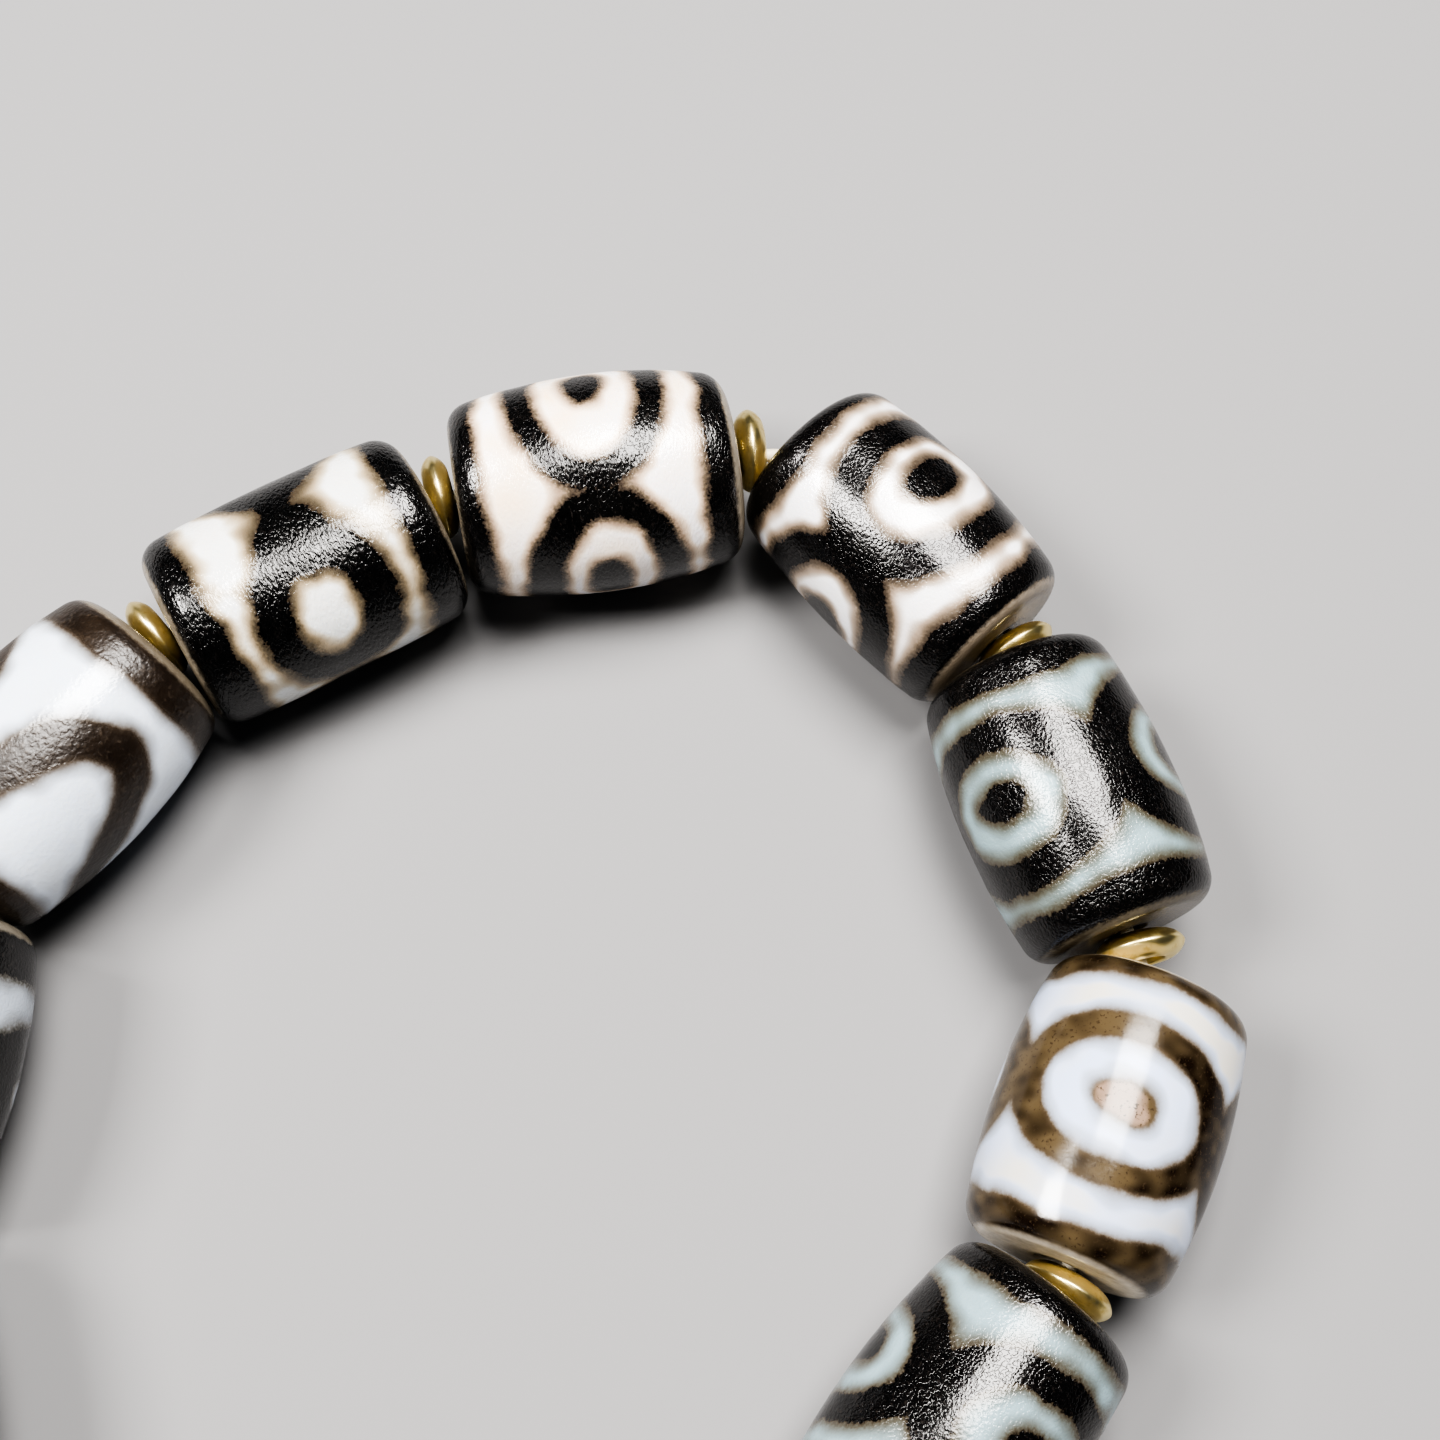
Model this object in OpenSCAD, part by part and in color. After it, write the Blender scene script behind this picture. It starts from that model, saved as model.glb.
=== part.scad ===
// Agate bead bracelet: twelve drilled barrel beads, a flat brass spacer between each pair,
// and one elastic thread through them all, lying on a table as a closed loop.
// Millimetres, +Z up. The origin is on the table, under the middle of the loop's box.

/* [Agate beads] */
// Length of a plain bead, along its bore
bead_length = 16.2; // [15.2:0.1:16.2]
// Diameter of a plain bead at its middle
bead_middle_d = 12.5; // [12:0.1:12.5]
// How much narrower the barrel is where it meets its ends
bead_taper = 1.7; // [1.5:0.1:2.4]
// Radius of the rounded shoulder between the barrel and its flat end
bead_shoulder_r = 1.6; // [1:0.1:2]
// Diameter of the drilled bore
bead_bore_d = 2.4; // [2.3:0.1:2.8]

/* [Brass spacers] */
// Outer diameter of a spacer
spacer_d = 5; // [4.4:0.1:5]
// Thickness of a spacer at its middle
spacer_thickness = 1.8; // [1.5:0.1:1.8]
// Radius of the spacer's rounded rim, seen in section
spacer_rim_r = 0.55; // [0.4:0.05:0.6]
// Diameter of the spacer's hole
spacer_bore_d = 2.2; // [2.1:0.1:2.4]

/* [Elastic thread] */
// Diameter of the thread
thread_d = 0.8; // [0.5:0.1:0.8]

/* [Hidden] */
// One row for each bead, clockwise from the left: the place of its middle on the table, the
// way its bore points, and how far its length, middle and taper are from a plain bead's
X = 0;
Y = 1;
HEADING = 2;
LONGER = 3;
THICKER = 4;
STEEPER = 5;
BEADS = [
    [-32.5,  -2.6,   88.5, -0.2, -0.1,  0.5],
    [-28.5,  14.7,   58.5,  0.1,  0.2,  0.6],
    [-16.5,  27.6,   36.0, -0.1, -0.5, -1.2],
    [ -0.7,  35.8,   16.5,  0.2,  0.5,  0.4],
    [ 17.6,  34.2,  -42.0,  0.2,  0.0, -0.2],
    [ 28.3,  19.8,  -63.0,  0.3,  0.1,  0.1],
    [ 31.5,   1.9, -106.5, -0.4,  0.0,  0.1],
    [ 24.7, -14.0, -123.5, -0.6, -0.4, -0.4],
    [ 13.9, -27.7, -134.5, -0.4,  0.0,  0.0],
    [ -1.3, -36.4, -167.0, -0.8, -0.1,  0.1],
    [-18.8, -33.6, -211.5, -0.7,  0.1,  0.2],
    [-29.9, -19.9, -250.0, -0.7, -0.2, -0.3],
];

// One row for each gap, which comes after the bead of the same row: how far its spacer sits
// outward and forward of the gap's middle, how far the spacer leans to the bead before it, and
// how far outward the thread is drawn there
OUTWARD = 0;
FORWARD = 1;
LEAN = 2;
THREAD_OUT = 3;
SEATS = [
    [0.60, -0.10,  0, 0.8],
    [0.90,  0.00,  0, 0.9],
    [1.00,  0.00, -4, 1.0],
    [0.05, -1.25, 25, 0.55],
    [0.95,  0.00,  0, 0.9],
    [0.05, -0.70, 12, 0.1],
    [0.80,  0.00,  0, 0.8],
    [0.80,  0.00,  0, 0.7],
    [0.30,  0.00,  0, 0.5],
    [0.10,  0.00,  0, 0.3],
    [0.10,  0.00,  0, 0.3],
    [0.90,  0.00,  0, 0.9],
];

count = len(BEADS);
shoulder_proud = 0.02;    // how far a bead's shoulder stands out past its side arc
thread_turn_in = 2.5;     // how far inside a bead the thread starts to bend
thread_lead = 0.5;        // how far outside a bead the bend is drawn to
thread_steps = 5;         // stretches in a bend
thread_sides = 8;
round_fn = 96;

function two_digits(n) = n < 10 ? str("0", n) : str(n);
BEAD_NAMES = [for (k = [1:count]) str("agate_bead_", two_digits(k))];
SPACER_NAMES = [for (k = [1:count]) str("brass_spacer_", two_digits(k))];

// The row after the last one is the first one again, a full turn on
function next(k) = (k + 1) % count;
function heading(k) = BEADS[k][HEADING];
function next_heading(k) = heading(next(k)) - (k == count - 1 ? 360 : 0);
function length_of(k) = bead_length + BEADS[k][LONGER];
function middle_r(k) = (bead_middle_d + BEADS[k][THICKER]) / 2;
function end_r(k) = middle_r(k) - (bead_taper + BEADS[k][STEEPER]) / 2;

// A bead's middle is as high as its own radius, so that it rests on the table
function middle_of(k) = [BEADS[k][X], BEADS[k][Y], middle_r(k)];
function ahead(angle) = [cos(angle), sin(angle), 0];
function outward(angle) = [-sin(angle), cos(angle), 0];
function on_bore(k, distance) = middle_of(k) + distance * ahead(heading(k));
function far_end(k) = length_of(k) / 2;

// The gap after bead k: its middle, and the heading halfway between its two beads
function gap_middle(k) = (on_bore(k, far_end(k)) + on_bore(next(k), -far_end(next(k)))) / 2;
function gap_heading(k) = (heading(k) + next_heading(k)) / 2;
function spacer_heading(k) = gap_heading(k) + SEATS[k][LEAN];
function spacer_middle(k) = gap_middle(k) + SEATS[k][FORWARD] * ahead(gap_heading(k))
    + SEATS[k][OUTWARD] * outward(gap_heading(k));

// The thread's bend after bead k is a cubic curve from bore to bore
function bend_start(k) = on_bore(k, far_end(k) - thread_turn_in);
function bend_lead(k) = on_bore(k, far_end(k) + thread_lead)
    + SEATS[k][THREAD_OUT] * outward(heading(k));
function bend_return(k) = on_bore(next(k), -far_end(next(k)) - thread_lead)
    + SEATS[k][THREAD_OUT] * outward(heading(next(k)));
function bend_end(k) = on_bore(next(k), thread_turn_in - far_end(next(k)));
function bend_point(k, t) = pow(1 - t, 3) * bend_start(k) + 3 * t * pow(1 - t, 2) * bend_lead(k)
    + 3 * pow(t, 2) * (1 - t) * bend_return(k) + pow(t, 3) * bend_end(k);

thread_route = [
    for (k = [0:count - 1], step = [0:thread_steps]) bend_point(k, step / thread_steps)
];

// Ring of points square to a closed route at its point i
function unit(v) = v / norm(v);
function route_side(route, i) = unit(cross([0, 0, 1],
    route[(i + 1) % len(route)] - route[(i + len(route) - 1) % len(route)]));
function route_ring(route, i, r, sides) = [
    for (s = [0:sides - 1])
        route[i] + r * cos(360 * s / sides) * route_side(route, i) + r * sin(360 * s / sides) * [0, 0, 1]
];

module closed_tube(route, r, sides) {
    rings = len(route);
    points = [for (i = [0:rings - 1]) each route_ring(route, i, r, sides)];
    faces = [
        for (i = [0:rings - 1], s = [0:sides - 1])
            let (
                near = i * sides,
                far = ((i + 1) % rings) * sides,
                turn = (s + 1) % sides
            )
            each [
                [near + s, far + s, far + turn],
                [near + s, far + turn, near + turn],
            ]
    ];
    polyhedron(points, faces);
}

// Half outline of a barrel, from its axis: a shallow arc for the side, with a round shoulder
// that stands just proud of the arc, so that the two cross, and is tangent to the flat end
module barrel_outline(length, r_middle, r_end, shoulder) {
    rise = r_middle - r_end;
    side_r = (pow(length / 2, 2) + pow(rise, 2)) / (2 * rise);
    shoulder_y = length / 2 - shoulder;
    shoulder_x = shoulder_proud + r_middle - side_r
        + sqrt(pow(side_r - shoulder, 2) - pow(shoulder_y, 2));
    tangent_y = shoulder_y * side_r / (side_r - shoulder);
    intersection() {
        translate([r_middle - side_r, 0]) circle(side_r, $fn = 12 * round_fn);
        translate([0, -tangent_y]) square([r_middle, 2 * tangent_y]);
    }
    translate([0, -length / 2]) square([shoulder_x, length]);
    for (side = [-1, 1]) translate([shoulder_x, side * shoulder_y]) circle(shoulder, $fn = round_fn);
}

// Half outline of a spacer: two shallow faces that meet a round rim
module spacer_outline() {
    half = spacer_thickness / 2;
    rim_x = spacer_d / 2 - spacer_rim_r;
    face_r = (pow(rim_x, 2) + pow(half, 2) - pow(spacer_rim_r, 2)) / (2 * (half - spacer_rim_r));
    tangent_x = rim_x * face_r / (face_r - spacer_rim_r);
    intersection() {
        translate([0, half - face_r]) circle(face_r, $fn = 4 * round_fn);
        translate([0, face_r - half]) circle(face_r, $fn = 4 * round_fn);
        translate([0, -half]) square([tangent_x, spacer_thickness]);
    }
    translate([rim_x, 0]) circle(spacer_rim_r, $fn = round_fn);
}

// Lays a piece that is built along +Z down on the heading, with its middle at a point
module threaded(point, angle) {
    translate(point) rotate([0, 90, angle]) children();
}

module agate_bead(k) {
    color(k % 2 == 0 ? "ivory" : "whitesmoke")
    threaded(middle_of(k), heading(k))
    difference() {
        rotate_extrude($fn = round_fn)
            barrel_outline(length_of(k), middle_r(k), end_r(k), bead_shoulder_r);
        cylinder(h = 2 * bead_length, d = bead_bore_d, center = true, $fn = round_fn);
    }
}

module brass_spacer(k) {
    color("goldenrod")
    threaded(spacer_middle(k), spacer_heading(k))
    difference() {
        rotate_extrude($fn = round_fn) spacer_outline();
        cylinder(h = 2 * spacer_thickness, d = spacer_bore_d, center = true, $fn = round_fn);
    }
}

module elastic_thread() {
    color("antiquewhite") closed_tube(thread_route, thread_d / 2, thread_sides);
}

for (k = [0:count - 1]) {
    agate_bead(k);
    brass_spacer(k);
}
elastic_thread();
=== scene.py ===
import bpy
import numpy as np
from mathutils import Matrix, Vector


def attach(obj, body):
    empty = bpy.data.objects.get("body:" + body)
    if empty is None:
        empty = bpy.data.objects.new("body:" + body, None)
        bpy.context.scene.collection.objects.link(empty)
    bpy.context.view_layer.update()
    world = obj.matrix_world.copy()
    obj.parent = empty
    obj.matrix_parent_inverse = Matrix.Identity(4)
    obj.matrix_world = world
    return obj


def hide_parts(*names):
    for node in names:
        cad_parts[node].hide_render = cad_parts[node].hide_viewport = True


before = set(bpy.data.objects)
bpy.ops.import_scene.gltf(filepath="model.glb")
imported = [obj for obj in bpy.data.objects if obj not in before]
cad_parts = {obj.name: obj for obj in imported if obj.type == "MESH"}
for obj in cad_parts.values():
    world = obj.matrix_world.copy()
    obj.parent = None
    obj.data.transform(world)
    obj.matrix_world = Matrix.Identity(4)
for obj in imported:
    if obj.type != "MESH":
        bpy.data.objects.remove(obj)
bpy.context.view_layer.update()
mm = 0.001
beadCount = 12
beadNames = ["agate_bead_%02d" % (k + 1) for k in range(beadCount)]
spacerNames = ["brass_spacer_%02d" % (k + 1) for k in range(beadCount)]


# View: the lens is close above the lower middle of the loop and looks down and across it

view = {
    "place": (8.32, -14.69, 108.34),  # mm
    "downward": 70.22,                # degrees below level, looking along +Y
    "roll": 6.94,                     # degrees
    "lens": 47.5,                     # mm, on a film 36 mm wide
    "film": 36.0,
    "clip": (2, 20000),               # mm, nearest and farthest that is drawn
}


def aimCamera(settings):
    # the aim is +Y turned down; roll then turns the frame about the aim
    down, roll = np.radians([settings["downward"], settings["roll"]])
    level, rise = Vector((1, 0, 0)), Vector((0, np.sin(down), np.cos(down)))
    aim = Vector((0, np.cos(down), -np.sin(down)))
    side = np.cos(roll) * level + np.sin(roll) * rise
    top = np.cos(roll) * rise - np.sin(roll) * level
    data = bpy.data.cameras.new("photoView")
    data.lens, data.sensor_width = settings["lens"], settings["film"]
    data.clip_start, data.clip_end = [reach * mm for reach in settings["clip"]]
    camera = bpy.data.objects.new("photoView", data)
    camera.matrix_world = Matrix.Translation(Vector(settings["place"]) * mm) @ \
        Matrix((side, top, -aim)).transposed().to_4x4()
    bpy.context.scene.collection.objects.link(camera)
    bpy.context.scene.camera = camera


aimCamera(view)
print("camera set")


# Surfaces and seats

def closedGrid(name, points):
    # points[i, j]: ring i, place j round the ring; each ring joins the next, and the last one the first
    rings, sides = points.shape[:2]
    i, j = np.meshgrid(np.arange(rings), np.arange(sides), indexing="ij")
    near, far = i * sides, (i + 1) % rings * sides
    turn = (j + 1) % sides
    quads = np.stack([near + j, near + turn, far + turn, far + j], axis=-1).reshape(-1, 4)
    mesh = bpy.data.meshes.new(name)
    mesh.from_pydata(points.reshape(-1, 3) * mm, [], quads.tolist())
    mesh.polygons.foreach_set("use_smooth", np.ones(len(quads), bool))
    piece = bpy.data.objects.new(name, mesh)
    bpy.context.scene.collection.objects.link(piece)
    return piece


def writeAttribute(piece, name, values):
    # one value for each point, for the finishes to read
    layer = piece.data.attributes.new(name, "FLOAT", "POINT")
    layer.data.foreach_set("value", values.astype(np.float32).ravel())


def softRamp(x, low, high):
    # 3t^2 - 2t^3 between low and high
    t = np.clip((x - low) / (high - low), 0, 1)
    return t * t * (3 - 2 * t)


def ripple(places, size, seed, waves=9):
    # smooth noise about 0: sine waves of one wavelength in random directions, added up and divided by
    # the square root of their number
    rng = np.random.default_rng(seed)
    ways = rng.normal(size=(waves, 3))
    ways *= 2 * np.pi / size / np.linalg.norm(ways, axis=1, keepdims=True)
    starts = rng.uniform(0, 2 * np.pi, waves)
    return sum(np.sin(places @ way + start) for way, start in zip(ways, starts)) / np.sqrt(waves)


def dimples(places, size, seed):
    # a ripple eased to lie between 0 and 1
    return softRamp(ripple(places, size, seed), -2, 2)


def patches(places, layers, k):
    # ripples added up, each as (share, size in mm, seed of the first bead)
    return sum(share * ripple(places, size, seed + k) for share, size, seed in layers)


def cornersOf(name):
    # the three corners of each triangle of a CAD node, in mm
    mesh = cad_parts[name].data
    mesh.calc_loop_triangles()
    places = np.zeros(3 * len(mesh.vertices), np.float32)
    mesh.vertices.foreach_get("co", places)
    order = np.zeros(3 * len(mesh.loop_triangles), np.int32)
    mesh.loop_triangles.foreach_get("vertices", order)
    return places.reshape(-1, 3)[order.reshape(-1, 3)].astype(float) / mm


def seatOf(name, flat):
    # A turned piece's seat from its CAD surface: the area's middle, and the axis along which the
    # area spreads least on a flat disc and most on a barrel. Its frame is ahead, outward and up.
    corners = cornersOf(name)
    a, b, c = corners[:, 0], corners[:, 1], corners[:, 2]
    area = np.repeat(np.linalg.norm(np.cross(b - a, c - a), axis=1), 3)
    middles = np.stack([a + b, b + c, c + a], axis=1).reshape(-1, 3) / 2
    middle = (middles * area[:, None]).sum(0) / area.sum()
    spread = ((middles - middle).T * area) @ (middles - middle)
    ahead = np.linalg.eigh(spread)[1][:, 0 if flat else -1] * (1, 1, 0)
    ahead /= np.linalg.norm(ahead)
    clockwise = np.array([middle[1], -middle[0], 0])
    ahead *= np.sign(ahead @ clockwise)
    outward = np.array([-ahead[1], ahead[0], 0])
    out = corners.reshape(-1, 3) - middle
    along = out @ ahead
    radius = np.linalg.norm(out - along[:, None] * ahead, axis=1)
    return {"middle": middle, "ahead": ahead, "outward": outward, "along": along, "radius": radius}


def placed(seat, along, radius, turn):
    # middle + along * ahead + radius * (up cos turn + outward sin turn), so that turn 0 is the top
    out = np.cos(turn)[..., None] * np.array([0, 0, 1.0]) + np.sin(turn)[..., None] * seat["outward"]
    return seat["middle"] + along[..., None] * seat["ahead"] + radius[..., None] * out


beadSeats = [seatOf(name, flat=False) for name in beadNames]
spacerSeats = [seatOf(name, flat=True) for name in spacerNames]
print("seats read from the frame")


# Chart of the dark lines on each bead's unrolled side. A place is mm along the bead
# from its middle, and degrees round it from its top, where the loop's inside is below 0.
# Stripes: places on their inner edges near and far, as (degrees, mm), and their outer edges.
# Eyes: the turn and the half height round the bead of a ring's outer edge, of its inner edge and
# of its dot, each with where it starts and ends along the bead: (degrees, mm, from mm, to mm).
# Strokes: (mm along, degrees, half width in mm). Stains, faded ink and clouds in the white:
# (mm along, degrees, reach in mm, strength). Ends: where the ink stops, in mm along the bead.

charts = [
    {"near": [(0, -5.7)], "far": [(0, 5.2), (-75, 5.1), (180, 5.5)], "ends": (-7.6, 7.25),
     "eyes": [[(-110, 6.3, -4.2, 2.9), (-114, 2.4, -1.9, 0.6)],
              [(12, 6.9, -3.6, 3.1), (12, 2.6, -1.6, 1.2)],
              [(132, 6.9, -3.6, 3.1), (132, 2.5, -1.6, 1.3)]]},
    {"near": [(0, -6.6), (-60, -6.6), (180, -6.8)], "far": [(45, 5.7), (0, 5.75), (-45, 5.9)],
     "ends": (-7.95, 7.6), "eyes": [],
     "strokes": [[(2.6, -46, 0.85), (2.15, -35, 0.9), (1.3, -25, 1.05), (0.0, -17.5, 1.15),
                  (-2.5, -10, 1.05), (-4.6, -1, 0.95), (-5.9, 12, 0.95), (-4.2, 22, 0.9),
                  (-1.0, 31, 0.9), (1.6, 42, 0.9),
                  (3.0, 58, 0.85), (2.3, 76, 0.9), (-0.5, 88, 0.95), (-3.8, 98, 0.95), (-5.7, 114, 0.9),
                  (-3.8, 130, 0.9), (-0.5, 141, 0.9), (2.0, 153, 0.9), (2.9, 170, 0.85),
                  (2.0, 187, 0.9), (-0.5, 199, 0.9), (-3.8, 211, 0.9), (-5.7, 229, 0.9),
                  (-4.9, 245, 0.9), (-3.4, 264, 0.9), (-1.9, 274, 0.9), (0.2, 286, 0.9),
                  (1.7, 296, 0.9), (2.55, 305, 0.85), (2.75, 314, 0.85)]]},
    {"near": [(45, -6.15), (0, -6.1), (-30, -5.75), (-60, -5.5), (-80, -5.4), (180, -5.8)],
     "far": [(45, 6.2), (15, 5.95), (-10, 6.1), (-45, 5.85), (-80, 5.7), (180, 6.0)], "ends": (-7.75, 7.8),
     "eyes": [[(-45, 5.3, -3.65, 4.0), (-47, 3.1, -2.1, 2.1)], [(84, 6.0, -3.6, 4.0), (87, 2.7, -1.6, 1.8)],
              [(200, 6.0, -3.8, 3.8), (200, 2.6, -1.8, 1.8)]],
     "strokes": [[(0.0, -4, 2.0), (0.0, 3, 1.8), (0.0, 9, 1.4), (0.05, 15, 0.9), (0.15, 22, 0.72),
                  (0.1, 34, 1.3)]],
     "stains": [(-1.3, 17, 1.3, 1.0), (1.4, 15, 1.2, 0.9), (1.6, 26, 1.0, 0.6), (3.2, -14, 1.4, 0.4)]},
    {"near": [(45, -6.75), (20, -7.0), (-20, -7.05), (-60, -6.7), (-80, -6.6), (150, -6.9)],
     "far": [(45, 6.45), (28, 6.6), (-10, 6.25), (-45, 6.1), (-80, 6.15), (150, 6.5)],
     "ends": (-8.1, 7.7),
     "eyes": [[(34, 6.75, -4.6, 4.2), (33, 5.4, -3.5, 3.1), (35, 1.45, -1.05, 0.65)],
              [(-90, 6.55, -4.6, 4.35), (-88, 4.85, -2.95, 3.2), (-87, 1.75, -1.0, 0.9)],
              [(152, 6.8, -4.5, 4.4), (152, 5.0, -3.1, 3.1), (152, 1.6, -0.9, 0.9)]],
     "clouds": [(-5.2, -30, 2.0, 0.8), (-4.4, 3, 1.5, 0.9), (-0.6, 22, 2.0, 0.6), (-2.2, 30, 1.1, 0.5),
                (3.9, 30, 1.6, 0.4), (5.2, -40, 2.2, -0.5), (-5.4, 30, 1.6, -0.5)]},
    {"near": [(45, -7.0), (15, -7.1), (-10, -6.8), (-30, -6.25), (-60, -6.2), (-90, -6.7), (150, -6.9)],
     "far": [(45, 6.2), (28, 6.55), (0, 6.6), (-20, 6.5), (-45, 6.15), (-60, 6.2), (-90, 6.3), (150, 6.6)],
     "ends": (-8.15, 7.85),
     "eyes": [[(20, 7.35, -4.9, 4.55), (20, 5.0, -3.4, 3.1), (20, 1.8, -1.5, 0.65)],
              [(-102, 6.85, -4.75, 5.1), (-99, 4.8, -3.1, 3.35), (-100, 1.75, -1.25, 1.4)],
              [(140, 7.0, -4.7, 4.8), (140, 4.8, -3.2, 3.2), (140, 1.7, -1.0, 1.0)]]},
    {"near": [(60, -6.6), (30, -6.3), (5, -5.95), (-20, -5.95), (-50, -6.35), (-90, -6.05), (180, -6.5)],
     "far": [(45, 6.3), (12, 5.95), (-30, 6.3), (-60, 6.35), (-90, 6.15), (180, 6.4)], "ends": (-8.1, 7.95),
     "strokes": [[(0.05, -44, 0.9), (-0.05, -51, 0.95), (-0.3, -62, 0.35)]],
     "eyes": [[(-50, 7.1, -4.6, 4.85), (-50, 4.0, -2.95, 3.25)],
              [(70, 7.0, -5.1, 5.2), (71, 4.9, -3.1, 3.15), (70, 2.3, -1.3, 1.35)],
              [(190, 7.0, -4.7, 4.8), (190, 4.6, -3.1, 3.2), (190, 1.5, -0.9, 0.9)]]},
    {"near": [(45, -6.45), (25, -6.7), (0, -6.95), (-30, -6.7), (-50, -6.4), (-75, -5.9), (-120, -6.5),
              (120, -6.6)],
     "far": [(45, 5.7), (15, 6.45), (-15, 6.7), (-60, 6.3), (-90, 5.95), (120, 6.3)], "ends": (-7.75, 7.8),
     "eyes": [[(-5, 6.5, -4.6, 4.2), (-6, 4.6, -3.25, 3.15), (-5, 1.6, -1.05, 0.85)],
              [(113, 7.4, -4.7, 4.8), (114, 4.9, -3.1, 3.1), (114, 1.6, -1.0, 1.0)],
              [(-126, 6.9, -4.5, 4.5), (-127, 4.6, -3.1, 3.1), (-126, 1.6, -1.0, 1.0)]],
     "etched": 0.002,
     "faded": [(0.0, -7, 2.0, 1.0), (3.4, -28, 3.0, 0.16), (-1.5, -52, 2.8, 0.28), (-3.9, -14, 1.8, 0.30),
               (3.9, 8, 1.6, 0.1), (1.0, 46, 4.0, -0.2), (-3.0, 30, 2.4, -0.2), (7.0, -40, 2.6, -0.12)],
     "clouds": [(-5.4, -30, 2.2, 0.7), (-5.4, 10, 2.2, 0.7), (-5.2, 40, 2.2, 0.8), (5.2, -50, 2.0, 0.5),
                (5.4, -5, 1.8, 0.3), (5.2, 35, 2.0, 0.6), (0.0, -5, 3.0, -0.6)]},
    {"near": [(45, -6.5), (0, -6.4), (-25, -6.05), (-45, -5.95), (-60, -6.0), (-90, -6.15), (150, -6.4)],
     "far": [(30, 6.5), (-30, 5.7), (-90, 6.5), (150, 6.4)], "ends": (-7.7, 7.6),
     "eyes": [[(30, 6.9, -4.75, 4.4), (29, 4.4, -3.2, 3.0), (30, 1.7, -1.5, 0.7)],
              [(-91, 7.2, -4.6, 4.5), (-89, 4.9, -2.85, 3.15), (-88, 2.4, -1.15, 1.15)],
              [(150, 7.0, -4.5, 4.5), (150, 4.6, -3.0, 3.0), (150, 1.7, -0.9, 0.9)]]},
    {"near": [(0, -6.3), (120, -6.7), (240, -6.4)], "far": [(0, 6.3), (90, 6.6)], "ends": (-7.75, 7.8),
     "eyes": [[(62, 6.9, -4.3, 4.5), (62, 5.1, -3.1, 3.3), (62, 1.6, -0.8, 1.0)],
              [(-58, 6.9, -4.5, 4.4), (-58, 5.0, -3.2, 3.1), (-58, 1.6, -1.0, 0.9)],
              [(182, 6.9, -4.4, 4.5), (182, 4.9, -3.1, 3.2), (182, 1.6, -0.9, 0.9)]]},
    {"near": [(0, -6.2), (60, -5.7), (180, -6.2)], "far": [(0, 6.1), (-60, 5.8)], "ends": (-7.55, 7.55),
     "eyes": [[(10, 6.9, -4.3, 4.1), (10, 4.6, -3.0, 2.8), (10, 1.6, -1.1, 0.9)],
              [(-110, 6.9, -4.1, 4.3), (-110, 4.6, -2.8, 3.0), (-110, 1.6, -0.9, 1.0)],
              [(130, 6.9, -4.3, 4.2), (130, 4.7, -2.9, 2.9), (130, 1.6, -1.0, 1.0)]]},
    {"near": [(0, -5.6), (90, -5.9)], "far": [(0, 5.9), (-90, 5.6)], "ends": (-7.6, 7.6),
     "eyes": [[(-30, 6.9, -3.6, 3.8), (-30, 3.1, -1.8, 2.0)], [(90, 6.9, -3.8, 3.7), (90, 2.8, -1.8, 1.8)],
              [(210, 6.9, -3.7, 3.7), (210, 2.9, -1.9, 1.8)]]},
    {"near": [(0, -6.0), (60, -6.4), (200, -6.1)], "far": [(40, 6.4), (-30, 5.9)], "ends": (-7.6, 7.6),
     "eyes": [[(40, 6.9, -4.2, 4.4), (40, 4.8, -2.9, 3.1), (40, 1.6, -0.9, 1.0)],
              [(-80, 6.9, -4.4, 4.2), (-80, 4.9, -3.1, 2.9), (-80, 1.6, -1.0, 0.9)],
              [(160, 6.9, -4.3, 4.3), (160, 4.8, -3.0, 3.0), (160, 1.6, -0.9, 1.0)]]},
]
lineWork = {
    "radius": 6.25,        # mm, of the cylinder that the charts are unrolled from
    "join": 0.6,           # mm, how far rings flow together where they meet
    "strokeJoin": 0.3,     # mm, the same for strokes and stripes
    "wander": 0.07,        # mm, how far a hand-drawn line strays
    "wanderSize": 3.0,     # mm
    "fullness": 2.1,       # an oval's power: 2 is an ellipse, and more is fuller
    "none": 99.0,          # mm, a distance that stands for no line at all
    "tiny": 1e-6,          # least value of f, so that an oval's very middle divides by no zero
}


def ovalEdge(x, y, halfX, halfY):
    # distance to an oval's edge, below 0 inside: f = (|x/a|^p + |y/b|^p)^(1/p), and the distance is
    # (f - 1) over the length of f's gradient
    power = lineWork["fullness"]
    u, v = np.abs(x / halfX), np.abs(y / halfY)
    f = np.maximum((u ** power + v ** power) ** (1 / power), lineWork["tiny"])
    slope = np.hypot((u / f) ** (power - 1) / halfX, (v / f) ** (power - 1) / halfY)
    return (f - 1) / slope


def joined(a, b, width):
    # smooth least of two distances, which rounds the corners where two lines meet: with s from 0 to 1
    # as a is the nearer, b + (a - b) s - width s (1 - s)
    share = np.clip(0.5 + 0.5 * (b - a) / width, 0, 1)
    return b + (a - b) * share - width * share * (1 - share)


def wrapped(degrees):
    # the same turn between -180 and 180
    return (degrees + 180) % 360 - 180


def roundCurve(points, degrees):
    # closed curve through (degrees, mm) points, eased from each point to the next
    ordered = sorted((d % 360, value) for d, value in points)
    ordered = [(ordered[-1][0] - 360, ordered[-1][1]), *ordered, (ordered[0][0] + 360, ordered[0][1])]
    turns = degrees % 360
    value = np.zeros(degrees.shape)
    for (d0, v0), (d1, v1) in zip(ordered, ordered[1:]):
        here = (turns >= d0) & (turns < d1)
        value = np.where(here, v0 + (v1 - v0) * softRamp(turns, d0, d1), value)
    return value


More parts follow.
